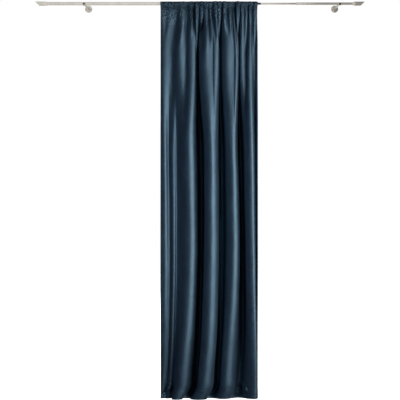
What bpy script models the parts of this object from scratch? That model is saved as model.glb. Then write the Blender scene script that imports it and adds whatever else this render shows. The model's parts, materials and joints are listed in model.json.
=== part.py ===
"""Blackout curtain gathered on a wall-mounted rod, in metres, +Z up.

The origin is the centre of the left bracket's wall face, at the height of the rod's axis.
+X runs along the rod to the right, +Y points into the wall, and the cloth hangs below the rod.
"""

import math
from collections import namedtuple

import bmesh
import bpy
import numpy as np
from mathutils import Matrix

# Rod and brackets
ROD_TO_WALL = 0.150
BRACKET_SPACING = 1.575
FIT_GAP = 0.0003  # between pieces that touch
WIDE_TUBE_RADIUS = 0.010
WIDE_TUBE_WALL = 0.001
WIDE_TUBE_LEFT = -0.226
SLIM_TUBE_RADIUS = 0.0055
SLIM_TUBE_WALL = 0.001
SLIM_TUBE_OVERLAP = 0.080  # how far it runs inside each outer tube
END_TUBE_RADIUS = 0.0075
END_TUBE_LEFT = 1.306
END_TUBE_RIGHT = 1.654
COLLAR_RADIUS = 0.0065
COLLAR_NOSE = 0.039
COLLAR_LIP = 0.002
COLLAR_PLUG = 0.025
COLLAR_HIDDEN = 0.020  # how far left of the cloth's right edge the wide tube ends
ROUND_SIDES = 32

# Finials: a plug in the tube, a flare, and a barrel cut at a slant
FINIAL_RADIUS = 0.0125
FINIAL_LENGTH = 0.077
FINIAL_FLARE = 0.026
FINIAL_SHOULDER = 0.96  # share of its radius that it reaches at this share of the flare
FINIAL_SHOULDER_AT = 0.72
FINIAL_NECK = 0.0012  # how far it stands out from the tube at this share of the flare
FINIAL_NECK_AT = 0.30
FINIAL_PLUG = 0.020
FINIAL_SLANT_DEG = 45.0

# Brackets: rosette on the wall, round arm, and an open cup that the rod lies in
ROSETTE_RADIUS = 0.0225
ROSETTE_DEPTH = 0.008
ROSETTE_CHAMFER = 0.0025
ARM_RADIUS = 0.0065
CUP_WALL = 0.003
CUP_WIDTH = 0.020
CUP_LIP = 0.002  # height of the front lip above the rod's axis
CUP_MOUTH = 0.6  # how far behind the axis the cup's open top reaches, as a share of the rod's radius
BOSS_RADIUS = 0.007
BOSS_DEPTH = 0.0015
BOSS_DROP = 0.004  # below the rod's axis
SCREW_RADIUS = 0.006
SCREW_DEPTH = 0.004
SCREW_CHAMFER = 0.001

# Cloth
CLOTH_LEFT = 0.4705
HUNG_WIDTH = 0.5992
FLAT_WIDTH = 1.238
CLOTH_THICKNESS = 0.0016
HEM_DROP = 2.437  # below the rod's axis
HEM_DIP = 0.24  # how much lower the hem hangs for each metre that a fold lies back
SEAM_DROP = 0.033  # stitch line under the rod, below its axis
POCKET_CLEARANCE = 0.00165  # cloth to rod, at the corners of the faceted pocket
COLUMNS_PER_PLEAT = 5
HEADING_DEPTH = 0.020  # of a gather on the rod, valley to ridge
NECK_DEPTH = 0.022  # of a gather just under the stitch line
NECK_DROP = 0.030  # how far under the stitch line the gathers have that depth
TOP_DEPTH = 0.004  # of the gathers over the top of the rod
UNDER_DEPTH = 0.012  # of the gathers beside the underside of the rod
MERGED_DROP = 0.45  # drop at which the gathers have merged into the main folds
FULL_DROP = 0.90  # drop at which the main folds have their full depth
YOUNG_DEPTH = 0.75  # share of that depth where the gathers have just merged
GATHER_SHARE = 0.65  # how closely the gathers' cloth follows that of the folds under them
GATHER_UNEVEN = 0.25  # share by which their depth varies along the rod
UNEVEN_RATES = (2.1, 0.9)  # radians for each gather, of the two waves that make that variation
UNEVEN_START = 0.6
LEAN = 0.2  # how far a fold goes to the left for each metre that it stands out
UPRIGHT_DROPS = (1.85, 2.22)  # between these the lean fades away
LEAN_ROUNDS = 8
RIDGE_SHARE = 0.75  # below 1, ridges are rounder and valleys tighter
TIGHTEST_TURN = 1.9  # radians: the steepest that a fold's side runs, seen from above
FLATTEST_SHARE = 0.985  # of the cloth's length that the flattest half fold is wide
FOLD_STEPS = 24
TURN_STEPS = 96

# Ridges of the gathers under the stitch line, in millimetres from the cloth's left edge
GATHER_RIDGES = (
    8, 58, 136, 194, 224, 251, 281, 308, 338, 364, 394, 427, 452, 474, 504, 528, 552, 580,
)

# The ridges and valleys that run down the cloth, in millimetres from its left edge: on the flat
# cloth, and then where they hang at the drops in LEVELS
Line = namedtuple("Line", "name flat high upper lower ankle foot hem")
LINES = (
    Line("left edge", 0, 0, 0, 0, 0, 0, 0),
    Line("ridge 1", 22, 16, 20, 26, 17, 10, 7),
    Line("valley 1", 54, 56, 50, 56, 48, 37, 31),
    Line("ridge 2", 86, 84, 76, 78, 62, 53, 45),
    Line("valley 2", 110, 100, 98, 98, 84, 75, 64),
    Line("ridge 3", 214, 182, 174, 174, 134, 118, 98),
    Line("valley 3", 356, 228, 240, 244, 218, 202, 150),
    Line("ridge 4", 530, 316, 316, 304, 278, 262, 240),
    Line("valley 4", 700, 368, 373, 374, 356, 341, 302),
    Line("ridge 5", 850, 436, 438, 442, 410, 402, 390),
    Line("valley 5", 990, 484, 488, 510, 496, 484, 474),
    Line("ridge 6", 1160, 552, 556, 570, 582, 581, 580),
    Line("valley 6", 1210, 585, 588, 597, 598.4, 598.4, 598.4),
    Line("right edge", 1238, 599.2, 599.2, 599.2, 599.2, 599.2, 599.2),
)
LEVELS = (0.30, 0.66, 1.77, 2.26, 2.385, HEM_DROP)

# Drops at which the faceted cloth has a row below its stitch line
BODY_DROPS = (
    0.050, 0.080, 0.130, 0.200, 0.300, 0.430, 0.620, 1.200,
    1.750, 2.000, 2.170, 2.300, 2.385, HEM_DROP,
)

# Rows round the rod, from the back of the stitch line to its front: "around" turns from the back
# of the rod over its top, and "phase" is 1 where the gathers stand out in front, -1 behind.
PocketRow = namedtuple("PocketRow", "around_deg depth phase")
POCKET_ROWS = (
    PocketRow(-35.0, UNDER_DEPTH, -1),
    PocketRow(0.0, HEADING_DEPTH, -1),
    PocketRow(45.0, TOP_DEPTH, -1),
    PocketRow(90.0, TOP_DEPTH, 1),
    PocketRow(135.0, TOP_DEPTH, 1),
    PocketRow(180.0, HEADING_DEPTH, 1),
    PocketRow(215.0, UNDER_DEPTH, 1),
)


def clear_scene():
    for obj in list(bpy.data.objects):
        bpy.data.objects.remove(obj, do_unlink=True)


def make_material(name, colour, roughness, metallic):
    material = bpy.data.materials.new(name)
    material.use_nodes = True
    shader = material.node_tree.nodes["Principled BSDF"]
    shader.inputs["Base Color"].default_value = (*colour, 1.0)
    shader.inputs["Roughness"].default_value = roughness
    shader.inputs["Metallic"].default_value = metallic
    return material


def make_collection(name, hidden=False):
    collection = bpy.data.collections.new(name)
    bpy.context.scene.collection.children.link(collection)
    collection.hide_render = hidden
    return collection


def add_object(name, mesh, collection, material=None, smooth=True):
    obj = bpy.data.objects.new(name, mesh)
    collection.objects.link(obj)
    if material:
        mesh.materials.append(material)
    if smooth:
        mesh.shade_smooth()
        mesh.set_sharp_from_angle(angle=math.radians(35))
    return obj


def along_x(x, y=-ROD_TO_WALL, z=0.0):
    """Placement that lays a piece turned about +Z along +X."""
    return Matrix.Translation((x, y, z)) @ Matrix.Rotation(math.radians(90), 4, "Y")


def to_wall(x, y, z=0.0):
    """Placement that points a piece turned about +Z into the room, -Y."""
    return Matrix.Translation((x, y, z)) @ Matrix.Rotation(math.radians(90), 4, "X")


def turned(name, profile, placement, collection, material, hollow=False):
    """A piece turned about its +Z from (radius, height) points that run down its outer side."""
    mesh = bpy.data.meshes.new(name)
    points = [(radius, 0.0, height) for radius, height in profile]
    edges = [(i, i + 1) for i in range(len(points) - 1)]
    if hollow:
        edges.append((len(points) - 1, 0))
    mesh.from_pydata(points, edges, [])
    obj = add_object(name, mesh, collection, material, smooth=False)
    screw = obj.modifiers.new("Turn", "SCREW")
    screw.axis = "Z"
    screw.steps = ROUND_SIDES
    screw.render_steps = ROUND_SIDES
    screw.use_merge_vertices = True
    screw.merge_threshold = 0.00001
    screw.use_smooth_shade = True
    obj.matrix_world = placement
    return obj


def tube(name, left, right, radius, bore, collection, material):
    profile = [(radius, right - left), (radius, 0.0), (bore, 0.0), (bore, right - left)]
    return turned(name, profile, along_x(left), collection, material, hollow=True)


def cylinder(name, radius, depth, placement, collection):
    """A plain closed cylinder about the placement's Z, centred on it, for joining and cutting."""
    mesh = bpy.data.meshes.new(name)
    body = bmesh.new()
    bmesh.ops.create_cone(
        body, cap_ends=True, segments=ROUND_SIDES, radius1=radius, radius2=radius, depth=depth
    )
    body.to_mesh(mesh)
    body.free()
    obj = add_object(name, mesh, collection, smooth=False)
    obj.matrix_world = placement
    return obj


def box(name, low, high, collection):
    mesh = bpy.data.meshes.new(name)
    body = bmesh.new()
    bmesh.ops.create_cube(body, size=1.0)
    size = [b - a for a, b in zip(low, high)]
    centre = [(a + b) / 2 for a, b in zip(low, high)]
    bmesh.ops.scale(body, vec=size, verts=body.verts)
    bmesh.ops.translate(body, vec=centre, verts=body.verts)
    body.to_mesh(mesh)
    body.free()
    return add_object(name, mesh, collection, smooth=False)


def combine(target, other, operation):
    """Joins or cuts with a helper object, which stays hidden from renders."""
    other.hide_render = True
    other.display_type = "WIRE"
    boolean = target.modifiers.new(f"{operation.title()} {other.name}", "BOOLEAN")
    boolean.operation = operation
    boolean.solver = "EXACT"
    boolean.object = other


def make_rod(parts, steel, plastic):
    """The wide tube, the slim tube that slides in it, the end tube and the collar between them."""
    cloth_right = CLOTH_LEFT + HUNG_WIDTH
    wide_end = cloth_right - COLLAR_HIDDEN
    slim_fit = SLIM_TUBE_RADIUS + FIT_GAP
    wide_bore = WIDE_TUBE_RADIUS - WIDE_TUBE_WALL
    tube("rod_wide_tube", WIDE_TUBE_LEFT, wide_end, WIDE_TUBE_RADIUS, wide_bore, parts, steel)
    tube(
        "rod_slim_tube",
        wide_end - SLIM_TUBE_OVERLAP,
        END_TUBE_LEFT + SLIM_TUBE_OVERLAP,
        SLIM_TUBE_RADIUS,
        SLIM_TUBE_RADIUS - SLIM_TUBE_WALL,
        parts,
        steel,
    )
    tube("rod_end_tube", END_TUBE_LEFT, END_TUBE_RIGHT, END_TUBE_RADIUS, slim_fit, parts, steel)
    plug_radius = wide_bore - FIT_GAP
    collar = [
        (COLLAR_RADIUS, COLLAR_NOSE),
        (COLLAR_RADIUS, COLLAR_LIP),
        (WIDE_TUBE_RADIUS, COLLAR_LIP),
        (WIDE_TUBE_RADIUS, 0.0),
        (plug_radius, 0.0),
        (plug_radius, -COLLAR_PLUG),
        (slim_fit, -COLLAR_PLUG),
        (slim_fit, COLLAR_NOSE),
    ]
    turned(
        "rod_collar", collar, along_x(wide_end + FIT_GAP), parts, plastic, hollow=True
    )


def make_finial(name, tube_end, tube_radius, bore, mirrored, parts, cutters, steel):
    """A plugged-in end piece that flares out and is cut at a slant, longest at its top."""
    barrel = FINIAL_LENGTH
    profile = [
        (0.0, barrel),
        (FINIAL_RADIUS, barrel),
        (FINIAL_RADIUS, FINIAL_FLARE),
        (FINIAL_RADIUS * FINIAL_SHOULDER, FINIAL_FLARE * FINIAL_SHOULDER_AT),
        (tube_radius + FINIAL_NECK, FINIAL_FLARE * FINIAL_NECK_AT),
        (tube_radius + FIT_GAP, 0.0),
        (bore - FIT_GAP, 0.0),
        (bore - FIT_GAP, -FINIAL_PLUG),
        (0.0, -FINIAL_PLUG),
    ]
    side = -1.0 if mirrored else 1.0
    start = tube_end + side * FIT_GAP
    turn = Matrix.Rotation(math.radians(180), 4, "Z") if mirrored else Matrix.Identity(4)
    at_rod = Matrix.Translation((start, -ROD_TO_WALL, 0.0))
    flat = Matrix.Rotation(math.radians(90), 4, "Y")
    finial = turned(name, profile, at_rod @ turn @ flat, parts, steel)
    reach = 3 * FINIAL_LENGTH
    knife = box(f"{name}_slant", (0.0, -reach, -reach), (reach, reach, reach), cutters)
    slant = Matrix.Rotation(math.radians(90 - FINIAL_SLANT_DEG), 4, "Y")
    tip = Matrix.Translation((barrel, 0.0, FINIAL_RADIUS))
    knife.matrix_world = at_rod @ turn @ tip @ slant
    combine(finial, knife, "DIFFERENCE")


def make_bracket(side, x, tube_radius, parts, cutters, steel, plastic):
    """Rosette, arm with its cup, and the screw that locks the rod in the cup."""
    rim = ROSETTE_RADIUS - ROSETTE_CHAMFER
    rosette = [
        (0.0, ROSETTE_DEPTH),
        (rim, ROSETTE_DEPTH),
        (ROSETTE_RADIUS, ROSETTE_DEPTH - ROSETTE_CHAMFER),
        (ROSETTE_RADIUS, 0.0),
        (0.0, 0.0),
    ]
    turned(f"bracket_{side}_rosette", rosette, to_wall(x, 0.0), parts, steel)

    cup_bore = tube_radius + FIT_GAP
    cup_radius = cup_bore + CUP_WALL
    arm = cylinder(f"bracket_{side}_arm", cup_radius, CUP_WIDTH, along_x(x), parts)
    arm.data.materials.append(steel)
    arm_back = -ROSETTE_DEPTH - FIT_GAP
    arm_front = -ROD_TO_WALL + tube_radius
    bar = cylinder(
        f"bracket_{side}_bar",
        ARM_RADIUS,
        arm_back - arm_front,
        to_wall(x, (arm_back + arm_front) / 2),
        cutters,
    )
    boss_front = -ROD_TO_WALL - cup_radius - BOSS_DEPTH
    boss_back = -ROD_TO_WALL - tube_radius / 2
    boss = cylinder(
        f"bracket_{side}_boss",
        BOSS_RADIUS,
        boss_back - boss_front,
        to_wall(x, (boss_front + boss_back) / 2, -BOSS_DROP),
        cutters,
    )
    bore = cylinder(f"bracket_{side}_bore", cup_bore, 3 * CUP_WIDTH, along_x(x), cutters)
    mouth_low = (x - CUP_WIDTH, -ROD_TO_WALL - 3 * cup_radius, CUP_LIP)
    mouth_high = (x + CUP_WIDTH, -ROD_TO_WALL + CUP_MOUTH * tube_radius, 3 * cup_radius)
    mouth = box(f"bracket_{side}_mouth", mouth_low, mouth_high, cutters)
    combine(arm, bar, "UNION")
    combine(arm, boss, "UNION")
    combine(arm, bore, "DIFFERENCE")
    combine(arm, mouth, "DIFFERENCE")

    head = [
        (0.0, SCREW_DEPTH),
        (SCREW_RADIUS - SCREW_CHAMFER, SCREW_DEPTH),
        (SCREW_RADIUS, SCREW_DEPTH - SCREW_CHAMFER),
        (SCREW_RADIUS, 0.0),
        (0.0, 0.0),
    ]
    place = to_wall(x, boss_front - FIT_GAP, -BOSS_DROP)
    turned(f"bracket_{side}_screw", head, place, parts, plastic)


def smooth(value, low, high):
    """0 below low, 1 above high, and an even curve between them."""
    share = min(max((value - low) / (high - low), 0.0), 1.0)
    return share * share * (3 - 2 * share)


def eased(drop, values):
    """The values at a drop, on a smooth curve through a row of them for each of LEVELS."""
    levels = np.array(LEVELS)
    slopes = np.gradient(values, levels, axis=0)
    slopes[0] = 0.0
    drop = max(drop, LEVELS[0])
    i = int(np.clip(np.searchsorted(levels, drop) - 1, 0, len(levels) - 2))
    span = levels[i + 1] - levels[i]
    f = (drop - levels[i]) / span
    start = (1 + 2 * f) * (1 - f) ** 2 * values[i] + f * (1 - f) ** 2 * span * slopes[i]
    end = f * f * (3 - 2 * f) * values[i + 1] + f * f * (f - 1) * span * slopes[i + 1]
    return start + end


def gather_wave(pleat):
    """1 on a gather's ridge and -1 in the valley between two."""
    return np.cos(2 * math.pi * (pleat - 0.5))


def gather_depth(pleat):
    """Share of the full depth that each gather has, which varies along the rod."""
    slow, fast = UNEVEN_RATES[1] * pleat + UNEVEN_START, UNEVEN_RATES[0] * pleat
    return 1.0 + GATHER_UNEVEN * np.sin(fast) * np.cos(slow)


def gather_places(pleat):
    """Where each column hangs under the stitch line, and where it lies on the flat cloth."""
    ridges = np.array(GATHER_RIDGES) * 0.001
    valleys = [0.0, *(ridges[1:] + ridges[:-1]) / 2]
    places = [*np.stack([valleys, ridges], axis=1).ravel(), HUNG_WIDTH]
    hung = np.interp(pleat, np.arange(len(places)) / 2, places)
    even = hung * FLAT_WIDTH / HUNG_WIDTH
    marks = np.interp(hung, [line.high * 0.001 for line in LINES], line_marks())
    return hung, even + GATHER_SHARE * (marks - even)


def line_marks():
    return np.array([line.flat for line in LINES]) * 0.001


def half_fold(turn, along):
    """Run and depth, for each unit of cloth, of a strip whose direction swings by "turn" and back.

    Its angle to the rod, seen from above, is turn * sin(pi * distance^RIDGE_SHARE), valley to ridge.
    """
    steps = (np.arange(FOLD_STEPS) + 0.5) / FOLD_STEPS
    angle = turn[:, None] * np.sin(math.pi * (along[:, None] * steps) ** RIDGE_SHARE)
    return along * np.cos(angle).mean(axis=1), along * np.sin(angle).mean(axis=1)


def turn_for(share):
    """The turn that leaves a half fold this share of its cloth's length wide."""
    turns = np.linspace(0.0, TIGHTEST_TURN, TURN_STEPS)
    widths = half_fold(turns, np.ones_like(turns))[0]
    return np.interp(share, widths[::-1], turns[::-1])


def fold_curve(places, marks, flat, lean):
    """x and out of each column, through ridges and valleys that hang at these places.

    There is as much cloth between two of them as their marks on the flat cloth say. The folds
    lean, so every point goes sideways by its depth times the lean.
    """
    lengths = np.diff(marks)
    sides = np.where(np.arange(len(lengths)) % 2, -1.0, 1.0)
    outs = np.zeros_like(places)
    for _ in range(LEAN_ROUNDS):
        runs = np.diff(places + lean * outs)
        turns = turn_for(np.clip(runs / lengths, 0.0, FLATTEST_SHARE))
        full_run, full_depth = half_fold(turns, np.ones_like(turns))
        heights = np.concatenate([[0.0], np.cumsum(sides * lengths * full_depth)])
        slope, level = np.polyfit(marks, heights, 1)
        outs = heights - slope * marks - level

    i = np.clip(np.searchsorted(marks, flat, side="right") - 1, 0, len(lengths) - 1)
    along = np.clip((flat - marks[i]) / lengths[i], 0.0, 1.0)
    falls = i % 2 == 1
    run, depth = half_fold(turns[i], np.where(falls, 1.0 - along, along))
    run = runs[i] * run / full_run[i]
    leaning = places + lean * outs
    x = np.where(falls, leaning[i + 1] - run, leaning[i] + run)
    out = heights[i + falls] + lengths[i] * depth - slope * flat - level
    return x - lean * out, out


def body_row(drop, pleat):
    """x and out of each column at this drop: the gathers turn into the main folds."""
    neck_x, flat = gather_places(pleat)
    columns = [[getattr(line, name) * 0.001 for line in LINES] for name in Line._fields[2:]]
    lean = LEAN * (1 - smooth(drop, *UPRIGHT_DROPS))
    main_x, main_out = fold_curve(eased(drop, np.array(columns)), line_marks(), flat, lean)
    main_out *= YOUNG_DEPTH + (1 - YOUNG_DEPTH) * smooth(drop, MERGED_DROP, FULL_DROP)
    below = min(max((drop - SEAM_DROP) / NECK_DROP, 0.0), 1.0)
    deep = HEADING_DEPTH + (NECK_DEPTH - HEADING_DEPTH) * below
    gathers = deep / 2 * gather_depth(pleat) * gather_wave(pleat)
    merged = smooth(drop, SEAM_DROP, MERGED_DROP)
    quarter = merged * math.pi / 2
    x = neck_x * (1 - merged) + main_x * merged
    return x, math.cos(quarter) * gathers + math.sin(quarter) * main_out


def pocket_row(row, pleat):
    """x, out and height of each column on a row of the pocket, round the rod."""
    snug = WIDE_TUBE_RADIUS + POCKET_CLEARANCE + CLOTH_THICKNESS / 2
    proud = row.depth * gather_depth(pleat) * (1 + row.phase * gather_wave(pleat)) / 2
    around = math.radians(row.around_deg)
    out = -(snug + proud) * math.cos(around)
    return gather_places(pleat)[0], out, (snug + proud) * math.sin(around)


def cloth_grid():
    """Rows of points on the cloth's middle: the stitch line, round the rod, and to the hem."""
    pleat = np.arange(len(GATHER_RIDGES) * COLUMNS_PER_PLEAT + 1) / COLUMNS_PER_PLEAT

    def placed(x, out, height):
        height = np.broadcast_to(height, x.shape)
        return np.stack([CLOTH_LEFT + x, -ROD_TO_WALL - out, height], axis=1)

    x, out = body_row(SEAM_DROP, pleat)
    seam = placed(x, out, -SEAM_DROP)
    pocket = [placed(*pocket_row(row, pleat)) for row in POCKET_ROWS]
    body = [placed(*body_row(drop, pleat), -drop) for drop in BODY_DROPS]
    back = body[-1][:, 1] + ROD_TO_WALL
    body[-1][:, 2] -= HEM_DIP * back
    return seam, pocket, body


def make_cloth(parts, fabric):
    """One length of cloth: its top runs over the rod and is stitched to itself under it."""
    seam, pocket, body = cloth_grid()
    mesh = bpy.data.meshes.new("cloth_panel")
    rows = [seam, *pocket, *body]
    count = len(seam)
    points = np.concatenate(rows)
    loop = [0, *range(1, len(pocket) + 1), 0]
    hanging = [0, *range(len(pocket) + 1, len(rows))]
    strips = list(zip(loop, loop[1:])) + list(zip(hanging, hanging[1:]))
    faces = [
        (a * count + i, a * count + i + 1, b * count + i + 1, b * count + i)
        for a, b in strips
        for i in range(count - 1)
    ]
    mesh.from_pydata(points.tolist(), [], faces)
    obj = add_object("cloth_panel", mesh, parts, fabric, smooth=False)
    wall = obj.modifiers.new("Thickness", "SOLIDIFY")
    wall.solidify_mode = "NON_MANIFOLD"
    wall.thickness = CLOTH_THICKNESS
    wall.offset = 0.0
    return obj


def main():
    clear_scene()
    parts = make_collection("blackout_curtain_on_rod")
    cutters = make_collection("helpers", hidden=True)
    steel = make_material("satin_nickel", (0.56, 0.54, 0.50), 0.32, 1.0)
    plastic = make_material("dark_plastic", (0.02, 0.02, 0.025), 0.45, 0.0)
    fabric = make_material("petrol_cloth", (0.018, 0.045, 0.085), 0.75, 0.0)
    make_rod(parts, steel, plastic)
    left_bore = WIDE_TUBE_RADIUS - WIDE_TUBE_WALL
    right_bore = SLIM_TUBE_RADIUS + FIT_GAP
    make_finial(
        "finial_left", WIDE_TUBE_LEFT, WIDE_TUBE_RADIUS, left_bore, True, parts, cutters, steel
    )
    make_finial(
        "finial_right", END_TUBE_RIGHT, END_TUBE_RADIUS, right_bore, False, parts, cutters, steel
    )
    make_bracket("left", 0.0, WIDE_TUBE_RADIUS, parts, cutters, steel, plastic)
    make_bracket("right", BRACKET_SPACING, END_TUBE_RADIUS, parts, cutters, steel, plastic)
    make_cloth(parts, fabric)


main()
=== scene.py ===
# A plain blackout curtain, gathered on a telescopic rod between two wall brackets.
# Metres, +Z up, +Y to the back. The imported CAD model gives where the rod, the brackets and the
# cloth are.
import json
import math

import bmesh
import bpy
import numpy as np
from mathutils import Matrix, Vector

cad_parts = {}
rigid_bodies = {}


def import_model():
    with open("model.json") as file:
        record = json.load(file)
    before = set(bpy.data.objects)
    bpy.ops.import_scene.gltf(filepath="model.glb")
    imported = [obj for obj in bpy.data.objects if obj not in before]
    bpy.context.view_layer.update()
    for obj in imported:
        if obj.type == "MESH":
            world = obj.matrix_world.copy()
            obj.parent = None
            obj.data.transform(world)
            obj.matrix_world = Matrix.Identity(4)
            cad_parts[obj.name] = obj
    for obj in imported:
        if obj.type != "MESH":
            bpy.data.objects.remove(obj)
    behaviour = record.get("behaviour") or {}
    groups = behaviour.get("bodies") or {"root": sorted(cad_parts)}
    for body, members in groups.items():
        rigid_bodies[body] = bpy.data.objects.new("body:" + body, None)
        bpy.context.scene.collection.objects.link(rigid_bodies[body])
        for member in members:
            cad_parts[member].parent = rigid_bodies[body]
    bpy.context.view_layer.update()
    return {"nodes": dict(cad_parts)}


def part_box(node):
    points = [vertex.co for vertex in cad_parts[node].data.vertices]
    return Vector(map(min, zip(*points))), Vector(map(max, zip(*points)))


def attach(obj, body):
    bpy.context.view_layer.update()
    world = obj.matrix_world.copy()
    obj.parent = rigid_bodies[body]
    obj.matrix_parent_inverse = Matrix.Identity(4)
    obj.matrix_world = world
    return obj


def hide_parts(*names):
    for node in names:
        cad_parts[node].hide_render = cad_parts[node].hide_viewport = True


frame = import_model()
tubeLow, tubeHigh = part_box("rod_wide_tube")
rodRadius = (tubeHigh.z - tubeLow.z) / 2
rodY = (tubeHigh.y + tubeLow.y) / 2
rodZ = (tubeHigh.z + tubeLow.z) / 2
print("frame loaded:", len(frame["nodes"]), "nodes")


# Meshes from grids of points

def gridFaces(rows, columns, wrapRows=False, wrapColumns=False):
    # The four corners of every cell of a grid; a wrapped side joins its last points to its first.
    r = np.arange(rows if wrapRows else rows - 1)
    c = np.arange(columns if wrapColumns else columns - 1)
    r, c = np.meshgrid(r, c, indexing="ij")
    nextR, nextC = (r + 1) % rows, (c + 1) % columns
    corners = [r * columns + c, r * columns + nextC, nextR * columns + nextC, nextR * columns + c]
    return np.stack(corners, axis=-1).reshape(-1, 4)


def meshFromFaces(name, points, faces, uv=None):
    # points: (count, 3); faces: (count, 4); uv: one pair for each point
    mesh = bpy.data.meshes.new(name)
    mesh.vertices.add(len(points))
    mesh.vertices.foreach_set("co", np.ascontiguousarray(points, np.float32).ravel())
    mesh.loops.add(faces.size)
    mesh.loops.foreach_set("vertex_index", faces.ravel().astype(np.int32))
    mesh.polygons.add(len(faces))
    mesh.polygons.foreach_set("loop_start", np.arange(0, faces.size, 4, dtype=np.int32))
    mesh.update(calc_edges=True)
    if uv is not None:
        layer = mesh.uv_layers.new(name="cloth")
        layer.data.foreach_set("uv", uv[faces.ravel()].astype(np.float32).ravel())
    mesh.validate()
    return mesh


def addPiece(name, mesh, material, nodes=(), sharpAngle=None):
    piece = bpy.data.objects.new(name, mesh)
    bpy.context.scene.collection.objects.link(piece)
    mesh.materials.append(material)
    mesh.shade_smooth()
    if sharpAngle:
        mesh.set_sharp_from_angle(angle=math.radians(sharpAngle))
    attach(piece, "root")
    if nodes:
        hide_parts(*nodes)
    return piece


def closedMesh(name, points, faces):
    # Points that meet, as at a pole, are made one, and the faces are turned outwards.
    mesh = meshFromFaces(name, points, faces)
    body = bmesh.new()
    body.from_mesh(mesh)
    bmesh.ops.remove_doubles(body, verts=body.verts, dist=0.00001)
    bmesh.ops.dissolve_degenerate(body, edges=body.edges, dist=0.000001)
    bmesh.ops.recalc_face_normals(body, faces=body.faces)
    body.to_mesh(mesh)
    body.free()
    return mesh


def waves(u, v, seed, count=7):
    # A smooth uneven field, mostly from -1 to 1: the sum of sine waves with seeded directions and
    # phases, over the square root of twice their number.
    rng = np.random.default_rng(seed)
    total = 0.0
    for _ in range(count):
        du, dv = rng.normal(0.0, 1.0, 2)
        total = total + np.sin(2 * math.pi * (du * u + dv * v + rng.random()))
    return total / math.sqrt(count * 2.0)


def smoothStep(x, low, high):
    # 0 up to low, 1 from high on, and 3t^2 - 2t^3 of the share t between them.
    t = np.clip((x - low) / (high - low), 0.0, 1.0)
    return t * t * (3 - 2 * t)


# The cloth: where its folds run, then its surface

cloth = {
    "flatWidth": 1.238,  # cut width between its side hems
    "hungWidth": 0.5992,
    "thickness": 0.0008,
    "sideHem": 0.016,
    "layerGap": 0.0011,  # between the middles of two layers that lie together
    "columns": 441,
    "rows": (22, 24, 26),  # under the pocket, in the middle, and near the hem
    "rowBreaks": (0.30, 0.110),  # drop where the first end, and height above the hem of the last

    # the pocket; a drop is measured down from the rod's axis
    "stitchDrop": 0.033,
    "allowance": 0.012,  # cloth left behind its stitch line
    "rodClearance": 0.0012,
    "push": (0.02, 0.30),  # share of the gathers' depth that shows over the rod, and added lower down
    "ruffle": 0.0026,  # depth of its small creases
    "leastRuffle": 0.10,  # share of that depth over the rod
    "puff": 1.3,  # how far the creases stand off, of their depth
    "fineRuffle": 0.6,  # how deep the finer creases are beside the others
    "ruffleSlant": 0.4,
    "slip": 0.5,  # how far the creases stray sideways, of their depth

    # the gathers under it
    "gatherStart": 0.045,
    "gatherReach": 0.26,  # length over which the gathers merge
    "gatherUneven": 0.45,
    "depthUneven": 0.3,
    "gatherSweep": 0.045,  # how far the gathers at the left run to the left on their way down
    "sweepWidth": 0.30,  # width of that part
    "gatherShare": 0.85,  # how closely the gathers' cloth follows the folds under them
    "crumple": 0.0018,  # depth of the creases just under the pocket
    "crumpleReach": 0.06,

    # the folds
    "ridgeShare": 0.75,  # below 1, ridges are rounder and valleys tighter
    "shoulderDepth": 0.72,  # how deep the folds at the shoulder are, of what their cloth allows
    "shoulderEnd": (0.38, 0.92),  # drops between which they turn into the main folds
    "highDepth": 0.75,  # how deep the main folds are at first
    "highEnd": (0.40, 0.90),  # drops between which they grow to their full depth
    "lean": 0.2,  # how far the main folds lean to the left of their feet
    "leanEnd": (1.85, 2.22),  # drops between which they stand up again
    "ripple": 0.0012,  # depth of the soft dents
    "wander": 0.0022,  # how far a fold strays sideways on its way down
    "freeDrop": 0.30,  # drop from which both are there in full

    # the hem
    "hemDrop": 2.437,
    "hemTurn": 0.062,  # height of the turned-up hem
    "edgeRise": 0.0004,  # where the layer behind starts, above the edge
    "hemDip": 0.24,  # how much lower the hem hangs for each metre that a fold lies back
    "dipStart": 1.9,
    "pinch": 0.0006,  # depth of the dents at its stitch line
    "pinchReach": 0.012,
    "hemClosing": 0.80,  # how much shallower the valleys are at the hem's edge
    "closingRise": (0.040, 0.007),  # heights above the edge between which they get so
    "calmer": 0.4,  # how much less they do at the right
    "calmerSpan": (0.42, 0.50),
}

# Patches of unevenness on the flat cloth: width and height, seed, and number of waves
patches = {
    "reach": (0.17, 1.0, 31, 7),
    "depth": (0.125, 1.0, 32, 7),
    "wander": (0.6, 1.1, 3, 7),
    "ripple": (0.15, 0.55, 5, 7),
    "crumple": (0.06, 0.12, 8, 7),
    "pinch": (0.024, 1.0, 12, 7),
    "ruffle": (0.030, 1.3, 21, 9),  # in the pocket, the height is an angle round the rod
    "fineRuffle": (0.016, 0.9, 22, 9),
    "slip": (0.0675, 1.6, 23, 7),
}

clothLow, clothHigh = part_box("cloth_panel")
clothLeft = (clothLow.x + clothHigh.x - cloth["hungWidth"]) / 2
flatColumns = np.linspace(0.0, cloth["flatWidth"], cloth["columns"])
foldSteps = 24  # steps along a half fold
sharpestTurn = 1.9  # radians
leanRounds = 8
straightest = 0.985  # widest that a half fold can be, of its cloth's length

# Ridges of the gathers just under the stitch line, in millimetres from the left edge
gatherRidges = (
    8, 58, 136, 194, 224, 251, 281, 308, 338, 364, 394, 427, 452, 474, 504, 528, 552, 580,
)

# Folds at the shoulder, once the gathers have merged: where on the flat cloth, and where it hangs,
# in millimetres from the left edge. Ridges and valleys take turns between the two edges.
shoulderFolds = (
    (0, 0), (14, 12), (78, 71), (130, 114), (178, 157), (212, 185), (356, 229),
    (496, 271), (556, 327), (564, 333), (706, 364), (806, 404), (862, 457), (868, 461),
    (990, 484), (1070, 497), (1112, 534), (1150, 544), (1210, 586), (1238, 599.2),
)

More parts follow.
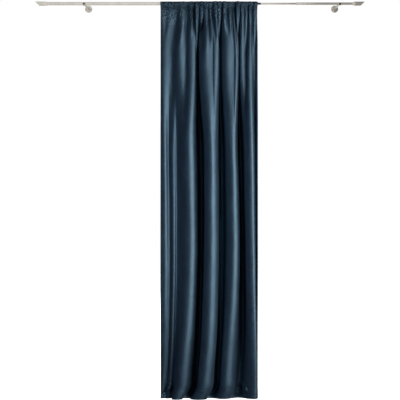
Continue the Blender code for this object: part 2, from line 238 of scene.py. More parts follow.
# The main folds: where on the flat cloth, then where they hang at each of foldDrops, in millimetres
foldDrops = (0.30, 0.66, 1.77, 2.26, 2.385, 2.437)
mainFolds = (
    ("left edge", 0, 0, 0, 0, 0, 0, 0),
    ("ridge 1", 22, 16, 20, 26, 17, 10, 7),
    ("valley 1", 54, 56, 50, 56, 48, 37, 31),
    ("ridge 2", 86, 84, 76, 78, 62, 53, 45),
    ("valley 2", 110, 100, 98, 98, 84, 75, 64),
    ("ridge 3", 214, 182, 174, 174, 134, 118, 98),
    ("valley 3", 356, 228, 240, 244, 218, 202, 150),
    ("ridge 4", 530, 316, 316, 304, 278, 262, 240),
    ("valley 4", 700, 368, 373, 374, 356, 341, 302),
    ("ridge 5", 850, 436, 438, 442, 410, 402, 390),
    ("valley 5", 990, 484, 488, 510, 496, 484, 474),
    ("ridge 6", 1160, 552, 556, 570, 582, 581, 580),
    ("valley 6", 1210, 585, 588, 597, 598.4, 598.4, 598.4),
    ("right edge", 1238, 599.2, 599.2, 599.2, 599.2, 599.2, 599.2),
)


def unevenness(kind, s, d=0.0, slant=0.0):
    # Waves over the flat cloth: s across it and d down it; slant shifts them sideways with d.
    across, down, seed, count = patches[kind]
    return waves(s / across + slant * d, d / down, seed, count)


def halfFold(turn, along):
    # Run and depth for each unit of cloth. Seen from above, its angle to the rod is
    # turn * sin(pi * distance^ridgeShare), which starts at 0 in a valley and is 0 again on the
    # ridge. Run and depth are the means of its cosine and sine, times the distance.
    steps = (np.arange(foldSteps) + 0.5) / foldSteps
    turn, along = np.broadcast_arrays(turn, along)
    angle = turn[..., None] * np.sin(math.pi * (along[..., None] * steps) ** cloth["ridgeShare"])
    return along * np.cos(angle).mean(axis=-1), along * np.sin(angle).mean(axis=-1)


def turnFor(share):
    # The turn that leaves a half fold this share of its cloth's length wide.
    turns = np.linspace(0.0, sharpestTurn, 96)
    widths = halfFold(turns, np.ones_like(turns))[0]
    return np.interp(share, widths[::-1], turns[::-1])


def foldCurve(places, marks, flat, lean=0.0):
    # The cloth seen from above, through ridges and valleys at places[row, line], with as much
    # cloth between two lines as their marks on the flat cloth say. The folds lean: each point
    # goes sideways by its depth times the lean, which a few rounds settle. Gives x and how far
    # out of the rod's plane the cloth is, less their straight trend, one row for each.
    lengths = np.diff(marks)
    sides = np.where(np.arange(len(lengths)) % 2, -1.0, 1.0)
    outs = np.zeros_like(places)
    for _ in range(leanRounds):
        runs = np.diff(places + lean * outs, axis=1)
        turns = turnFor(np.clip(runs / lengths, 0.0, straightest))
        fullRun, fullDepth = halfFold(turns, np.ones_like(turns))
        depths = sides * lengths * fullDepth
        heights = np.concatenate([np.zeros((len(runs), 1)), np.cumsum(depths, axis=1)], axis=1)
        trend, level = np.polyfit(marks, heights.T, 1)
        outs = heights - trend[:, None] * marks - level[:, None]

    i = np.clip(np.searchsorted(marks, flat, side="right") - 1, 0, len(lengths) - 1)
    along = np.clip((flat - marks[i]) / lengths[i], 0.0, 1.0)
    falls = i % 2 == 1  # from a ridge to a valley, so the distance is taken back from the valley
    run, depth = halfFold(turns[:, i], np.where(falls, 1 - along, along)[None, :])
    run = runs[:, i] * run / fullRun[:, i]
    leaning = places + lean * outs
    x = np.where(falls, leaning[:, i + 1] - run, leaning[:, i] + run)
    out = heights[:, i + falls] + lengths[i] * depth
    out = out - trend[:, None] * flat - level[:, None]
    return x - lean * out, out


def neckCurve(flat):
    # The gathers at the stitch line: a ridge at each of gatherRidges, and a valley half way to
    # the next one.
    ridges = np.array(gatherRidges) * 0.001
    valleys = (ridges[1:] + ridges[:-1]) / 2
    places = np.concatenate([[0.0], np.stack([ridges[:-1], valleys], axis=1).ravel()])
    places = np.append(places, [ridges[-1], cloth["hungWidth"]])
    # gathers over a deep fold of the shoulder hold more cloth than the others
    evenMarks = places * cloth["flatWidth"] / cloth["hungWidth"]
    foldMarks, foldPlaces = np.array(shoulderFolds).T * 0.001
    sweepAt = np.clip(places / cloth["sweepWidth"], 0.0, 1.0)
    sweep = cloth["gatherSweep"] * np.sin(math.pi * sweepAt)
    foldedMarks = np.interp(places - sweep, foldPlaces, foldMarks)
    marks = evenMarks + cloth["gatherShare"] * (foldedMarks - evenMarks)
    return foldCurve(places[None, :], marks, flat)


def shoulderCurve(flat):
    # The folds once the gathers have merged: ridges and valleys as shoulderFolds places them.
    marks, places = np.array(shoulderFolds).T * 0.001
    return foldCurve(places[None, :], marks, flat)


def bodyCurve(drops, flat):
    # The main folds. Between two of foldDrops a place follows a cubic curve down the cloth, with
    # the slopes that the table has there, and straight down at the first.
    table = np.array([row[1:] for row in mainFolds], float).T * 0.001
    marks, table = table[0], table[1:]
    levels = np.array(foldDrops)
    slopes = np.gradient(table, levels, axis=0)
    slopes[0] = 0.0
    drops = np.clip(drops, levels[0], levels[-1])
    i = np.clip(np.searchsorted(levels, drops) - 1, 0, len(levels) - 2)
    span = (levels[i + 1] - levels[i])[:, None]
    f = (drops - levels[i])[:, None] / span
    start = (1 + 2 * f) * (1 - f) ** 2 * table[i] + f * (1 - f) ** 2 * span * slopes[i]
    end = f * f * (3 - 2 * f) * table[i + 1] + f * f * (f - 1) * span * slopes[i + 1]
    lean = cloth["lean"] * (1 - smoothStep(drops, *cloth["leanEnd"]))[:, None]
    return foldCurve(start + end, marks, flat, lean)


# Creases: millimetres from the left edge, drop, angle from upright, half length, half
# width (millimetres), and height out of the cloth
creases = (
    (20, 2.405, -40, 20, 8, -12),
    (50, 2.373, -40, 20, 8, 22),
    (66, 2.392, -32, 20, 5, -8),
    (240, 2.405, -60, 22, 5, -6),
    (492, 2.416, -82, 42, 11, -20),
    (518, 2.372, 30, 22, 10, 30),
    (500, 2.388, 32, 20, 5, -12),
)


def hangingPoints(drops, flat):
    # The middle of the hanging cloth at each drop: gathers at the neck turn into the shoulder's
    # folds and those into the main folds, with soft dents and a slight stray on top.
    neckX, neckOut = neckCurve(flat)
    shoulderX, shoulderOut = shoulderCurve(flat)
    bodyX, bodyOut = bodyCurve(drops, flat)
    s, d = flat[None, :], drops[:, None]
    reach = cloth["gatherReach"] * (1 + cloth["gatherUneven"] * unevenness("reach", s))
    a = smoothStep(d, cloth["gatherStart"], cloth["gatherStart"] + reach)
    b = smoothStep(d, *cloth["shoulderEnd"])
    x = (neckX * (1 - a) + shoulderX * a) * (1 - b) + bodyX * b
    quarter = math.pi / 2
    uneven = 1 + cloth["depthUneven"] * unevenness("depth", s)
    out = neckOut * uneven * np.cos(quarter * a)
    out = out + cloth["shoulderDepth"] * shoulderOut * np.sin(quarter * a) * np.cos(quarter * b)
    deepening = cloth["highDepth"] + (1 - cloth["highDepth"]) * smoothStep(d, *cloth["highEnd"])
    out = out + bodyOut * np.sin(quarter * b) * deepening

    free = smoothStep(d, cloth["stitchDrop"], cloth["freeDrop"])
    inside = np.sin(math.pi * np.clip(x / cloth["hungWidth"], 0.0, 1.0)) ** 0.5
    x = x + cloth["wander"] * free * inside * unevenness("wander", s, d)
    out = out + cloth["ripple"] * free * unevenness("ripple", s, d)
    fresh = np.exp(-((d - cloth["stitchDrop"]) / cloth["crumpleReach"]) ** 2)
    out = out + cloth["crumple"] * fresh * unevenness("crumple", s, d)
    toHem = (d - (cloth["hemDrop"] - cloth["hemTurn"])) / cloth["pinchReach"]
    out = out - cloth["pinch"] * np.exp(-toHem**2) * (1.0 + unevenness("pinch", s))

    # at the very bottom the valleys come forward, and leave a hollow above the hem
    high, low = cloth["closingRise"]
    closing = smoothStep(d, cloth["hemDrop"] - high, cloth["hemDrop"] - low) * cloth["hemClosing"]
    closing = closing * (1 - cloth["calmer"] * smoothStep(x, *cloth["calmerSpan"]))
    out = np.where(out < 0, out * (1 - closing), out)
    # each crease adds its height times exp(-(along^2 + aside^2)), in its own half sizes
    for place, drop, angle, halfLength, halfWidth, height in creases:
        across, down = x * 1000 - place, (d - drop) * 1000
        turn = math.radians(angle)
        along = down * math.cos(turn) + across * math.sin(turn)
        aside = across * math.cos(turn) - down * math.sin(turn)
        out = out + 0.001 * height * np.exp(-((along / halfLength) ** 2) - (aside / halfWidth) ** 2)

    hang = smoothStep(d, cloth["dipStart"], cloth["hemDrop"])
    down = d - cloth["hemDip"] * hang * out
    return np.stack([clothLeft + x, rodY - out, rodZ - down], axis=-1)


def gridNormals(points):
    # Unit normals of a grid of points, towards the front: the cross product of its two directions.
    alongRows = np.gradient(points, axis=0)
    alongColumns = np.gradient(points, axis=1)
    normals = np.cross(alongRows, alongColumns)
    normals /= np.linalg.norm(normals, axis=-1, keepdims=True) + 1e-12
    return normals * np.where(normals[..., 1:2].mean() > 0, -1.0, 1.0)


def layerBehind(drops, flat, gap):
    # A second layer: each point of the cloth, moved back along its normal by the gap.
    points = hangingPoints(drops, flat)
    return points - gridNormals(points) * gap


def pocketPoints(flat):
    # Rows from just above the stitch line in front, over the rod, to the stitch line at the back.
    # Seen from the side the pocket is a drop: two straight sides and an arc round the rod. The
    # gathers push it outwards, in front on their ridges and at the back in their valleys.
    snug = rodRadius + cloth["rodClearance"] + cloth["thickness"] / 2
    touch = math.acos(snug / cloth["stitchDrop"])
    arcRows, sideRows = 19, 5
    arc = np.linspace(touch, 2 * math.pi - touch, arcRows)
    rise = np.linspace(0.0, 1.0, sideRows + 2)[1:-1]
    arcOut, arcZ = snug * np.sin(arc), -snug * np.cos(arc)
    sideOut = rise * arcOut[0]
    sideZ = -cloth["stitchDrop"] + rise * (arcZ[0] + cloth["stitchDrop"])
    profileOut = np.concatenate([sideOut, arcOut, -sideOut[::-1]])[:, None]
    profileZ = np.concatenate([sideZ, arcZ, sideZ[::-1]])[:, None]
    free = np.concatenate([rise, np.ones_like(arc), rise[::-1]])[:, None]
    turn = np.concatenate([np.full_like(rise, arc[0]), arc, np.full_like(rise, arc[-1])])[:, None]

    neckX, neckOut = neckCurve(flat)
    s = flat[None, :]
    front = np.sin(turn) > 0
    facing = np.maximum(np.cos(np.where(front, turn - arc[0], arc[-1] - turn)), 0.0) ** 2
    overRod, lowerDown = cloth["push"]
    share = (overRod + lowerDown * facing) * free + (1 - free)
    proud = np.where(front, neckOut - neckOut.min(), neckOut.max() - neckOut) * share
    ruffles = unevenness("ruffle", s, turn, cloth["ruffleSlant"])
    ruffles = ruffles + cloth["fineRuffle"] * unevenness("fineRuffle", s, turn)
    level = cloth["ruffle"] * (cloth["leastRuffle"] + (1 - cloth["leastRuffle"]) * facing)
    proud = np.maximum(proud + free * level * (cloth["puff"] + ruffles), 0.0)
    out = profileOut + free * proud * np.sin(turn) + (1 - free) * neckOut
    z = profileZ - free * proud * np.cos(turn)
    x = neckX + free * cloth["ruffle"] * cloth["slip"] * unevenness("slip", s, turn)
    x = np.clip(x, 0.0, cloth["hungWidth"])
    return np.stack([clothLeft + x, rodY - out, rodZ + z], axis=-1)


def bodyDrops():
    # Rows lie close under the stitch line and above the hem, and further apart between them.
    topRows, middleRows, bottomRows = cloth["rows"]
    topEnd, bottomStart = cloth["rowBreaks"][0], cloth["hemDrop"] - cloth["rowBreaks"][1]
    t = np.linspace(0.0, 1.0, topRows + 1)[:-1]
    top = cloth["stitchDrop"] + (topEnd - cloth["stitchDrop"]) * (0.5 * t + 0.5 * t * t)
    middle = np.linspace(topEnd, bottomStart, middleRows + 1)[:-1]
    bottom = np.linspace(bottomStart, cloth["hemDrop"], bottomRows)
    return np.concatenate([top, middle, bottom])


def makeCloth(material):
    # One sheet: from the allowance behind the stitch line, up the back, over the rod, down the
    # front to the hem, and up again behind it. Its UV map is the flat cloth in metres.
    flat = flatColumns
    stitch, hem, gap = cloth["stitchDrop"], cloth["hemDrop"], cloth["layerGap"]
    turnedDown = np.linspace(stitch + cloth["allowance"], stitch, 3)
    allowance = layerBehind(turnedDown, flat, gap)
    pocket = pocketPoints(flat)[::-1]
    front = hangingPoints(bodyDrops(), flat)
    turnedUp = np.linspace(hem - cloth["edgeRise"], hem - cloth["hemTurn"], 6)
    behind = layerBehind(turnedUp, flat, gap)
    fold = (front[-1:] + behind[:1]) / 2 - np.array([0.0, 0.0, gap / 2])
    points = np.concatenate([allowance, pocket, front, fold, behind])
    rows, columns = points.shape[:2]
    steps = np.linalg.norm(np.diff(points, axis=0), axis=2).mean(axis=1)
    down = np.concatenate([[0.0], np.cumsum(steps)])
    uv = np.stack(np.meshgrid(flat, down), axis=-1).reshape(-1, 2)
    mesh = meshFromFaces("curtainCloth", points.reshape(-1, 3), gridFaces(rows, columns), uv)
    piece = addPiece("curtainCloth", mesh, material, ["cloth_panel"])
    wall = piece.modifiers.new("Thickness", "SOLIDIFY")
    wall.thickness = cloth["thickness"]
    wall.offset = 0.0
    print("cloth:", rows, "rows,", columns, "columns, cut length", round(float(down[-1]), 3))
    return piece, float(down[-1])


# Metal and plastic pieces, turned about an axis

jointGap = 0.0003  # between two pieces that fit together
mostRounded = 0.45  # of a side's length, that the arc at a corner can take


def rounded(profile, radius, steps=4):
    # Each corner of a (along, radius) outline becomes a short arc, drawn as a quadratic curve.
    points = [np.array(profile[0], float)]
    for before, corner, after in zip(profile, profile[1:], profile[2:]):
        before, corner, after = (np.array(p, float) for p in (before, corner, after))
        inward = before - corner
        outward = after - corner
        inLength, outLength = np.linalg.norm(inward), np.linalg.norm(outward)
        reach = min(radius, inLength * mostRounded, outLength * mostRounded)
        start = corner + inward / inLength * reach
        end = corner + outward / outLength * reach
        for t in np.linspace(0.0, 1.0, steps + 1):
            points.append((1 - t) ** 2 * start + 2 * t * (1 - t) * corner + t * t * end)
    points.append(np.array(profile[-1], float))
    return np.array(points)


def turnedPoints(profile, origin, axis, sides=72, slant=None):
    # A (along, radius) outline carried round an axis: a point is origin + axis * along
    # + radius * (cos, sin) in the plane across it. slant moves a point along by its height.
    profile = np.asarray(profile, float)
    axis = np.array(axis, float)
    up = np.array([0.0, 0.0, 1.0])
    side = np.cross(up, axis)
    around = np.linspace(0.0, 2 * math.pi, sides, endpoint=False)
    along, radius = profile[:, 0][:, None], profile[:, 1][:, None]
    sideways, height = radius * np.cos(around), radius * np.sin(around)
    if slant is not None:
        along = along + slant(height, along)
    along = np.broadcast_to(along, height.shape)
    return (
        np.array(origin, float)
        + along[..., None] * axis
        + sideways[..., None] * side
        + height[..., None] * up
    )


def turnedPiece(name, grids, material, nodes=(), hollow=False):
    # One piece from one or more grids of points; hollow joins a grid's last row to its first.
    points, faces, start = [], [], 0
    for grid in grids:
        rows, columns = grid.shape[:2]
        points.append(grid.reshape(-1, 3))
        faces.append(gridFaces(rows, columns, wrapRows=hollow, wrapColumns=True) + start)
        start += rows * columns
    mesh = closedMesh(name, np.concatenate(points), np.concatenate(faces))
    addPiece(name, mesh, material, nodes, sharpAngle=40)


rod = {
    "tubeWall": 0.001,
    "rimRound": 0.0003,
    "slimRadius": 0.0055,
    "slimBore": 0.0045,
    "endRadius": 0.0075,
    "collarRadius": 0.0065,
    "collarLip": 0.002,
    "collarRound": 0.0006,
}
wideBore = rodRadius - rod["tubeWall"]
endBore = rod["slimRadius"] + jointGap


def makeTube(name, node, bore, material):
    # A closed outline, out along the tube's outside and back along its bore, turned about its axis.
    low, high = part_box(node)
    radius = (high.z - low.z) / 2
    length = high.x - low.x
    outline = [(length / 2, radius), (0, radius), (0, bore), (length, bore), (length, radius)]
    outline = rounded(outline + [(length / 2, radius)], rod["rimRound"])[:-1]
    grid = turnedPoints(outline, (low.x, rodY, rodZ), (1, 0, 0))
    turnedPiece(name, [grid], material, [node], hollow=True)


def makeCollar(material):
    # The ring in the wide tube's mouth, turned about the rod: a plug, a lip, then a nose that the
    # slim tube leaves through.
    low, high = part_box("rod_collar")
    mouth = tubeHigh.x
    back, lip, nose = low.x - mouth, jointGap + rod["collarLip"], high.x - mouth
    radius, plug = rod["collarRadius"], wideBore - jointGap
    outline = [
        ((lip + nose) / 2, radius), (lip, radius), (lip, rodRadius), (jointGap, rodRadius),
        (jointGap, plug), (back, plug), (back, endBore), (nose, endBore), (nose, radius),
        ((lip + nose) / 2, radius),
    ]
    outline = rounded(outline, rod["collarRound"])[:-1]
    grid = turnedPoints(outline, (mouth, rodY, rodZ), (1, 0, 0))
    turnedPiece("rodCollar", [grid], material, ["rod_collar"], hollow=True)


finial = {
    "radius": 0.0125,
    "flare": 0.026,  # length over which it widens from the tube
    "flareCurve": 2.4,  # above 1, it widens quickly at first
    "length": 0.077,
    "plug": 0.020,
    "barrelEnds": (0.004, 0.002),  # how far its rings keep from the flare and the slant
    "edge": 0.0009,  # rounding of the slanted rim
}


def makeFinial(name, node, tubeNode, bore, direction, material):
    # A plug, a smooth flare and a barrel, turned about the rod. The flare's radius grows with
    # 1 - (1 - t)^flareCurve, and the barrel ends in a face slanted at 45 degrees, longest on top.
    low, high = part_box(tubeNode)
    tubeRadius = (high.z - low.z) / 2
    tubeEnd = high.x if direction > 0 else low.x
    radius, length, edge = finial["radius"], finial["length"], finial["edge"]
    t = np.linspace(0.0, 1.0, 12)
    flareAlong = jointGap + t * finial["flare"]
    flareStart = tubeRadius + jointGap
    widening = 1 - (1 - t) ** finial["flareCurve"]
    flareRadius = flareStart + (radius - tubeRadius - jointGap) * widening
    plugRadius = bore - jointGap
    plug = [(-finial["plug"], 0.0), (-finial["plug"], plugRadius), (jointGap, plugRadius)]
    barrelStart = finial["flare"] + finial["barrelEnds"][0]
    barrelEnd = length - 2 * radius - finial["barrelEnds"][1]
    barrel = [(x, radius) for x in np.linspace(barrelStart, barrelEnd, 4)]
    a = np.linspace(0.0, math.pi / 2, 6)
    rim = np.stack([length - edge + edge * np.sin(a), radius - edge + edge * np.cos(a)], axis=1)
    face = [(length, r) for r in np.linspace(radius - edge, 0.0, 8)[1:]]
    outline = np.array([*plug, *zip(flareAlong, flareRadius), *barrel, *rim, *face])

    def slant(height, along):
        # Past the barrel, a point goes back by how far it lies under the top.
        share = smoothStep(along, length - 2 * radius, length - edge * 2)
        return (height - radius) * share

    grid = turnedPoints(outline, (tubeEnd, rodY, rodZ), (direction, 0, 0), slant=slant)
    turnedPiece(name, [grid], material, [node])


bracket = {
    "rosetteRadius": 0.0225,
    "rosetteDepth": 0.008,
    "rosetteRound": 0.0016,
    # outline from back to front, in shares of its depth and radius
    "rosette": ((0, 0), (0, 1), (0.55, 1), (0.8, 0.93), (0.86, 0.6), (1, 0.56), (1, 0)),
    "armRadius": 0.0065,
    "armTip": (0.010, 0.0006),  # how far its last ring and its end keep from the rod
    "armRound": 0.0008,
    "cupWall": 0.003,
    "cupWidth": 0.020,
    "cupRound": 0.0007,
    "cupFront": -10.0,  # where its lip is, in degrees down from the rod's front
    "cupBack": 238.0,
    "bossRadius": 0.0068,  # the round boss on the cup's front, which the screw sits on
    "bossDepth": 0.006,
    "bossProud": 0.0015,  # how far it stands out of the cup
    "bossDrop": 0.004,
    "screwRadius": 0.006,
    "screwDepth": 0.004,
    "socketRadius": (0.0029, 0.0026),  # at the screw's face, and inside
    "socketDepth": 0.0018,
    "screwRound": 0.0006,
}


def cupGrid(x, radius):
    # A flat strip with round edges, carried round the rod from the front lip to behind its top.
    # Its section shrinks to its middle over the four stations at each end.
    inner, half = radius + jointGap, bracket["cupWidth"] / 2
    outer = inner + bracket["cupWall"]
    outline = [(0, inner), (half, inner), (half, outer), (-half, outer), (-half, inner), (0, inner)]
    section = rounded(outline, bracket["cupRound"], 3)[:-1]
    centre = section.mean(axis=0)
    stations = 60
    ends = np.array([0.0, 0.55, 0.85, 1.0])
    size = np.concatenate([ends, np.ones(stations - 4), ends[::-1]])[:, None, None]
    slack = np.radians(2.0) * np.array([0.0, 0.05, 0.35, 0.6])
    turn = np.radians(np.linspace(bracket["cupFront"], bracket["cupBack"], stations))
    turn = np.concatenate([turn[0] + slack, turn[2:-2], turn[-1] - slack[::-1]])
    section = centre + (section[None] - centre) * size
    away = section[..., 1]
    y = rodY - away * np.cos(turn)[:, None]
    z = rodZ - away * np.sin(turn)[:, None]
    return np.stack([x + section[..., 0], y, z], axis=-1)


def makeBracket(side, tubeRadius, metal, plastic):
    # Outlines of rosette, arm, boss and screw, turned about lines square to the rod, and the cup.
    toFront = (0, -1, 0)
    depth, radius = bracket["rosetteDepth"], bracket["rosetteRadius"]
    low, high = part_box(f"bracket_{side}_rosette")
    x, backY = (low.x + high.x) / 2, high.y
    outline = [(depth * along, radius * out) for along, out in bracket["rosette"]]
    outline = rounded(outline, bracket["rosetteRound"], 5)
    plate = turnedPoints(outline, (x, backY, rodZ), toFront, 96)
    turnedPiece(f"{side}Rosette", [plate], metal, [f"bracket_{side}_rosette"])

    armStart, armEnd = depth + jointGap, -rodY - tubeRadius - jointGap
    arm, (ring, tip) = bracket["armRadius"], bracket["armTip"]
    outline = [(armStart, 0.0), (armStart, arm), (armEnd - ring, arm)]
    outline += [(armEnd - tip, arm), (armEnd - tip, 0.0)]
    outline = rounded(outline, bracket["armRound"])
    bar = turnedPoints(outline, (x, backY, rodZ), toFront, 64)
    cupOut = tubeRadius + jointGap + bracket["cupWall"]
    front = -rodY + cupOut + bracket["bossProud"]
    back, bossRadius = front - bracket["bossDepth"], bracket["bossRadius"]
    bossPlace = (x, backY, rodZ - bracket["bossDrop"])
    outline = [(back, 0.0), (back, bossRadius), (front, bossRadius), (front, 0.0)]
    boss = turnedPoints(rounded(outline, bracket["cupRound"]), bossPlace, toFront, 48)
    cup = cupGrid(x, tubeRadius)
    turnedPiece(f"{side}Arm", [bar, boss, cup], metal, [f"bracket_{side}_arm"])

    head, deep = bracket["screwRadius"], bracket["screwDepth"]
    wide, narrow = bracket["socketRadius"]
    bottom = deep - bracket["socketDepth"]
    outline = [(0, 0), (0, head), (deep, head), (deep, wide), (bottom, narrow), (bottom, 0)]
    outline = rounded(outline, bracket["screwRound"], 3)
    screwPlace = (x, -(front + jointGap), rodZ - bracket["bossDrop"])
    screw = turnedPoints(outline, screwPlace, toFront, 48)
    turnedPiece(f"{side}Screw", [screw], plastic, [f"bracket_{side}_screw"])


# Stitches: short rounded threads laid on the cloth

stitching = {
    "length": 0.0026,
    "pitch": 0.0036,
    "thread": 0.00042,  # radius
    "bow": 0.00025,  # how far the middle of a stitch stands off
    "proud": 0.3,  # height of the thread's middle over the cloth, of its radius
    "pocketLine": 0.001,  # below the line on which the pocket's layers meet
    "hemLine": 0.003,  # below the edge of the turned-up hem
    "ends": (0.004, 0.006),  # bare cloth at the start and end of a row
    "sideEnds": (0.004, 0.003),  # the same for the side hems, below the pocket and above the edge
    "sideSteps": 300,
    "beside": (0.002, 0.001),  # how far below and beside a line the cloth's slope is taken
}


def threadMesh(name, starts, ends, normals):
    # Every stitch is a bar of six rings of five points, thin at both ends, from start to end. It
    # bows away from the cloth by the sine of its length.
    rings, sides = 6, 5
    ringAt = np.array([0.0, 0.1, 0.35, 0.65, 0.9, 1.0])
    ringSize = np.array([0.1, 0.75, 1.0, 1.0, 0.75, 0.1]) * stitching["thread"]
    around = np.linspace(0.0, 2 * math.pi, sides, endpoint=False)
    along = ends - starts
    side = np.cross(along, normals)
    side /= np.linalg.norm(side, axis=1, keepdims=True)
    bow = np.sin(math.pi * ringAt)[None, :, None] * normals[:, None, :] * stitching["bow"]
    centres = starts[:, None, :] + along[:, None, :] * ringAt[None, :, None] + bow
    across = side[:, None, None, :] * np.cos(around)[None, None, :, None]
    lift = normals[:, None, None, :] * np.sin(around)[None, None, :, None]
    points = centres[:, :, None, :] + (across + lift) * ringSize[None, :, None, None]
    firstPoints = np.arange(len(starts)) * rings * sides
    single = gridFaces(rings, sides, wrapColumns=True)
    faces = (single[None] + firstPoints[:, None, None]).reshape(-1, 4)
    mesh = meshFromFaces(name, points.reshape(-1, 3), faces)
    body = bmesh.new()
    body.from_mesh(mesh)
    bmesh.ops.holes_fill(body, edges=[e for e in body.edges if e.is_boundary], sides=sides)
    bmesh.ops.recalc_face_normals(body, faces=body.faces)
    body.to_mesh(mesh)
    body.free()
    return mesh


def runOfStitches(points, normals):
    # Stitches at an even pitch along a line of points that lie on the cloth.
    steps = np.linalg.norm(np.diff(points, axis=0), axis=1)
    distance = np.concatenate([[0.0], np.cumsum(steps)])
    first, last = stitching["ends"]
    starts = np.arange(first, distance[-1] - last, stitching["pitch"])
    ends = starts + stitching["length"]

    def at(values, where):
        return np.stack([np.interp(where, distance, values[:, k]) for k in range(3)], axis=1)

    normal = at(normals, (starts + ends) / 2)
    normal /= np.linalg.norm(normal, axis=1, keepdims=True)
    lift = normal * (cloth["thickness"] / 2 + stitching["thread"] * stitching["proud"])
    return at(points, starts) + lift, at(points, ends) + lift, normal


def makeStitches(material):
    # The pocket's stitch line, the hem's, and one down each side hem.
    stitchDrop, hemDrop = cloth["stitchDrop"], cloth["hemDrop"]
    pocketLine = stitchDrop + stitching["pocketLine"]
    hemLine = hemDrop - cloth["hemTurn"] + stitching["hemLine"]
    below, aside = (np.array([-1, 0, 1]) * step for step in stitching["beside"])
    lines = []
    for drop in (pocketLine, hemLine):
        rows = hangingPoints(drop + below, flatColumns)
        lines.append(runOfStitches(rows[1], gridNormals(rows)[1]))
    top, bottom = stitching["sideEnds"]
    drops = np.linspace(stitchDrop + top, hemDrop - bottom, stitching["sideSteps"])
    for place in (cloth["sideHem"], cloth["flatWidth"] - cloth["sideHem"]):
        rows = hangingPoints(drops, place + aside)
        lines.append(runOfStitches(rows[:, 1], gridNormals(rows)[:, 1]))
    starts, ends, normals = (np.concatenate(part) for part in zip(*lines))
    mesh = threadMesh("curtainStitches", starts, ends, normals)
    print("stitches:", len(starts))
    return addPiece("curtainStitches", mesh, material)


# Materials

def newMaterial(name, colour, roughness, metallic=0.0):
    material = bpy.data.materials.new(name)
    material.use_nodes = True
    shader = material.node_tree.nodes["Principled BSDF"]
    shader.inputs["Base Color"].default_value = (*colour, 1.0)
    shader.inputs["Roughness"].default_value = roughness
    shader.inputs["Metallic"].default_value = metallic
    material.diffuse_color = (*colour, 1.0)
    return material, material.node_tree, shader


def addNode(tree, kind, inputs):
    # A new node; each of its inputs is linked to another node's output or set to a plain value.
    node = tree.nodes.new("ShaderNode" + kind)
    for name, value in inputs.items():
        if isinstance(value, bpy.types.NodeSocket):
            tree.links.new(value, node.inputs[name])
        else:
            node.inputs[name].default_value = value
    return node


def addNoise(tree, source, scale, stretch=(1, 1, 1), detail=3.0):
    mapping = addNode(tree, "Mapping", {"Vector": source, "Scale": stretch})
    place = mapping.outputs["Vector"]
    noise = addNode(tree, "TexNoise", {"Vector": place, "Scale": scale, "Detail": detail})
    return noise.outputs["Fac"]


def addRange(tree, source, low, high, fromLow=0.3, fromHigh=0.7):
    limits = {"From Min": fromLow, "From Max": fromHigh, "To Min": low, "To Max": high}
    return addNode(tree, "MapRange", {"Value": source, **limits}).outputs["Result"]


def addRamp(tree, source, *stops):
    # two stops, each with its place and colour
    ramp = addNode(tree, "ValToRGB", {"Fac": source})
    for element, (place, colour) in zip(ramp.color_ramp.elements, stops):
        element.position = place
        element.color = (*colour, 1.0)
    return ramp.outputs["Color"]


def addBump(tree, height, distance, strength, before=None):
    inputs = {"Height": height, "Distance": distance, "Strength": strength}
    if before is not None:
        inputs["Normal"] = before
    return addNode(tree, "Bump", inputs).outputs["Normal"]


def addWave(tree, source, direction, pitch):
    wave = addNode(tree, "TexWave", {"Vector": source, "Scale": math.pi / 10 / pitch})
    wave.bands_direction = direction
    return wave.outputs["Fac"]


def addMath(tree, operation, first, second):
    step = addNode(tree, "Math", {0: first, 1: second})
    step.operation = operation
    return step.outputs[0]


def addBlend(tree, first, share, second):
    # share times the first, and the rest of the second
    parts = (first, share), (second, 1 - share)
    return addMath(tree, "ADD", *(addMath(tree, "MULTIPLY", *part) for part in parts))


def objectPlace(tree):
    return tree.nodes.new("ShaderNodeTexCoord").outputs["Object"]


weave = {
    "dark": (0.0058, 0.0112, 0.0230),
    "light": (0.0102, 0.0204, 0.0400),
    "gloss": (0.44, 0.75, 1.0),
    "ior": 1.7,
    "sheen": (0.06, 0.5),  # weight and roughness
    "roughness": (0.47, 0.57),
    "warpPitch": 0.00045,
    "weftPitch": 0.0006,
    "threadBump": (0.00008, 0.4),  # depth and strength
    "blotches": (11.0, (1.7, 1.0, 1.0), 5.0),  # scale, stretch and detail
    "blotchBump": (0.004, 0.6),
    "flecks": (160.0, (1.0, 0.5, 1.0), 3.0),
    "fleckBump": (0.0008, 0.5),
    "creases": (120.0, (1.0, 0.45, 1.0), 4.0),
    "creaseBump": (0.030, 1.0),
    "creaseEnd": (0.105, 0.26),  # where they start to fade and are gone, from the turned edge
}


